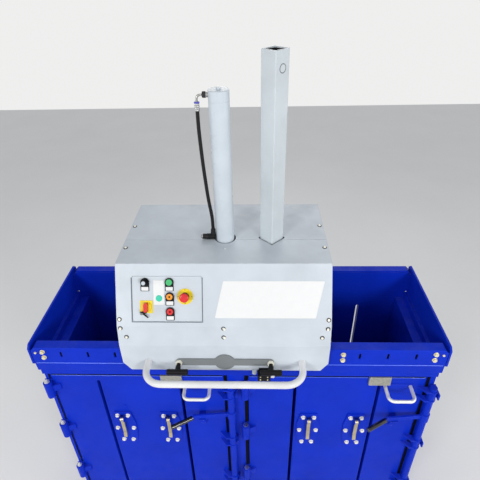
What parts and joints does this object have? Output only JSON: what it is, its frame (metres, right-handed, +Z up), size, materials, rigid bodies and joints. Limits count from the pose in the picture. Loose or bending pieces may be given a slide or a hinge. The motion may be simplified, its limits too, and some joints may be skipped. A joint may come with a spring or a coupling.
{
  "type": "vertical baling press",
  "caption": "Vertical baling press: a hydraulic press head rolls on a rim above side-by-side chambers that have barred, slotted doors.",
  "frame": {"origin": "On the floor, at the centre of the machine's footprint, under the column between the chambers.", "axes": "+Z up, +X to the operator's right along the rim, +Y away from the operator; the doors face -Y."},
  "size_m": [1.648, 0.705, 2.232],
  "materials": {
    "blue_paint": "semi-gloss powder coat",
    "grey_paint": "satin powder coat",
    "light_grey_paint": "satin powder coat",
    "panel_grey": "matt printed panel",
    "zinc": "zinc plated",
    "galvanised": "galvanised sheet",
    "bare_steel": "machined",
    "chrome_rod": "hard chrome",
    "black_plastic": "matt",
    "grey_switch": "matt",
    "black_rubber": "smooth hose cover",
    "yellow_plastic": "semi-gloss",
    "red_plastic": "gloss",
    "green_plastic": "gloss",
    "orange_plastic": "gloss",
    "dark_steel": "black oxide"
  },
  "bodies": {
    "frame": {"left_wall": "blue_paint", "right_wall": "blue_paint", "centre_column": "blue_paint", "left_back_wall": "blue_paint", "right_back_wall": "blue_paint", "chamber_floors": "blue_paint", "rim_headers": "blue_paint", "front_rail": "blue_paint", "back_rail": "blue_paint", "end_plates": "blue_paint", "frame_lugs": "blue_paint", "hinge_pins": "zinc", "rail_bolts": "blue_paint"},
    "left_door": {"left_door": "blue_paint", "left_clamp_plates": "blue_paint", "left_door_bolts": "zinc", "left_door_handle": "galvanised", "left_cover_plate": "galvanised"},
    "left_lock": {"left_lock_bar": "blue_paint", "left_lock_grip": "black_rubber"},
    "left_clamp_a": {"left_clamp_lever_a": "zinc"},
    "left_clamp_b": {"left_clamp_lever_b": "zinc"},
    "right_door": {"right_door": "blue_paint", "right_clamp_plates": "blue_paint", "right_door_bolts": "zinc", "right_door_handle": "galvanised", "right_cover_plate": "galvanised"},
    "right_lock": {"right_lock_bar": "blue_paint", "right_lock_grip": "black_rubber"},
    "right_clamp_a": {"right_clamp_lever_a": "zinc"},
    "right_clamp_b": {"right_clamp_lever_b": "zinc"},
    "head": {"head_frame": "grey_paint", "front_cover": "grey_paint", "rear_cover": "grey_paint", "head_fasteners": "zinc", "control_panel": "panel_grey", "switch_bodies": "grey_switch", "switch_backplates": "yellow_plastic", "grab_handle": "light_grey_paint", "locking_strip": "light_grey_paint", "position_switch": "black_plastic", "cylinder_barrel": "grey_paint", "hydraulic_fittings": "bare_steel", "hydraulic_hose": "black_rubber", "pilot_lamp": "orange_plastic", "power_unit": "dark_steel"},
    "press": {"press_plate": "grey_paint", "guide_tube": "grey_paint", "piston_rod": "chrome_rod"},
    "front_left_roller": {"front_left_roller": "bare_steel"},
    "front_right_roller": {"front_right_roller": "bare_steel"},
    "back_left_roller": {"back_left_roller": "bare_steel"},
    "back_right_roller": {"back_right_roller": "bare_steel"},
    "green_button": {"green_button": "green_plastic"},
    "red_button": {"red_button": "red_plastic"},
    "selector_knob": {"selector_knob": "black_plastic"},
    "stop_button": {"stop_button": "red_plastic"},
    "main_switch": {"main_switch": "red_plastic"},
    "left_t_handle": {"left_t_handle": "black_plastic"},
    "right_t_handle": {"right_t_handle": "black_plastic"}
  },
  "joints": [
    {"name": "head_travel", "type": "slide", "parent": "frame", "child": "head", "axis": [1, 0, 0], "range_m": [-0.369, 0.457]},
    {"name": "press_stroke", "type": "slide", "parent": "head", "child": "press", "axis": [0, 0, 1], "range_m": [-0.1415, 0]},
    {"name": "left_door_hinge", "type": "hinge", "parent": "frame", "child": "left_door", "pos_m": [-0.795, -0.272, 0.65], "axis": [0, 0, 1], "range_deg": [-110, 0]},
    {"name": "right_door_hinge", "type": "hinge", "parent": "frame", "child": "right_door", "pos_m": [0.031, -0.272, 0.65], "axis": [0, 0, 1], "range_deg": [-90, 0]},
    {"name": "left_lock_turn", "type": "hinge", "parent": "left_door", "child": "left_lock", "pos_m": [-0.029, -0.275, 0.6165], "axis": [0, 0, 1], "range_deg": [0, 80]},
    {"name": "right_lock_turn", "type": "hinge", "parent": "right_door", "child": "right_lock", "pos_m": [0.797, -0.275, 0.6165], "axis": [0, 0, 1], "range_deg": [0, 80]},
    {"name": "left_clamp_a_lift", "type": "hinge", "parent": "left_door", "child": "left_clamp_a", "pos_m": [-0.5185, -0.276, 0.76], "axis": [1, 0, 0], "range_deg": [-75, 0]},
    {"name": "left_clamp_b_lift", "type": "hinge", "parent": "left_door", "child": "left_clamp_b", "pos_m": [-0.3115, -0.276, 0.76], "axis": [1, 0, 0], "range_deg": [-75, 0]},
    {"name": "right_clamp_a_lift", "type": "hinge", "parent": "right_door", "child": "right_clamp_a", "pos_m": [0.3075, -0.276, 0.76], "axis": [1, 0, 0], "range_deg": [-75, 0]},
    {"name": "right_clamp_b_lift", "type": "hinge", "parent": "right_door", "child": "right_clamp_b", "pos_m": [0.5145, -0.276, 0.76], "axis": [1, 0, 0], "range_deg": [-75, 0]},
    {"name": "front_left_roller_spin", "type": "hinge", "parent": "head", "child": "front_left_roller", "pos_m": [-0.379, -0.2505, 1.2403], "axis": [0, 1, 0], "continuous": true},
    {"name": "front_right_roller_spin", "type": "hinge", "parent": "head", "child": "front_right_roller", "pos_m": [0.291, -0.2505, 1.2403], "axis": [0, 1, 0], "continuous": true},
    {"name": "back_left_roller_spin", "type": "hinge", "parent": "head", "child": "back_left_roller", "pos_m": [-0.379, 0.2505, 1.2403], "axis": [0, 1, 0], "continuous": true},
    {"name": "back_right_roller_spin", "type": "hinge", "parent": "head", "child": "back_right_roller", "pos_m": [0.291, 0.2505, 1.2403], "axis": [0, 1, 0], "continuous": true},
    {"name": "green_push", "type": "slide", "parent": "head", "child": "green_button", "axis": [0, 0.8805, -0.4741], "range_m": [0, 0.004], "stiffness_N_per_m": 600},
    {"name": "red_push", "type": "slide", "parent": "head", "child": "red_button", "axis": [0, 0.8805, -0.4741], "range_m": [0, 0.004], "stiffness_N_per_m": 600},
    {"name": "stop_push", "type": "slide", "parent": "head", "child": "stop_button", "axis": [0, 0.8805, -0.4741], "range_m": [0, 0.005], "stiffness_N_per_m": 900},
    {"name": "selector_turn", "type": "hinge", "parent": "head", "child": "selector_knob", "pos_m": [-0.334, -0.19271, 1.46925], "axis": [0, -0.8805, 0.4741], "range_deg": [-45, 45]},
    {"name": "main_switch_turn", "type": "hinge", "parent": "head", "child": "main_switch", "pos_m": [-0.33, -0.2368, 1.38736], "axis": [0, -0.8805, 0.4741], "range_deg": [-90, 0]},
    {"name": "left_t_handle_turn", "type": "hinge", "parent": "head", "child": "left_t_handle", "pos_m": [-0.222, -0.3, 1.155], "axis": [0, 1, 0], "range_deg": [0, 90]},
    {"name": "right_t_handle_turn", "type": "hinge", "parent": "head", "child": "right_t_handle", "pos_m": [0.134, -0.3, 1.155], "axis": [0, 1, 0], "range_deg": [0, 90]}
  ],
  "couplings": [
    {"joint": "front_left_roller_spin", "follows": "head_travel", "rad_per_m": 25},
    {"joint": "front_right_roller_spin", "follows": "head_travel", "rad_per_m": 25},
    {"joint": "back_left_roller_spin", "follows": "head_travel", "rad_per_m": 25},
    {"joint": "back_right_roller_spin", "follows": "head_travel", "rad_per_m": 25}
  ]
}
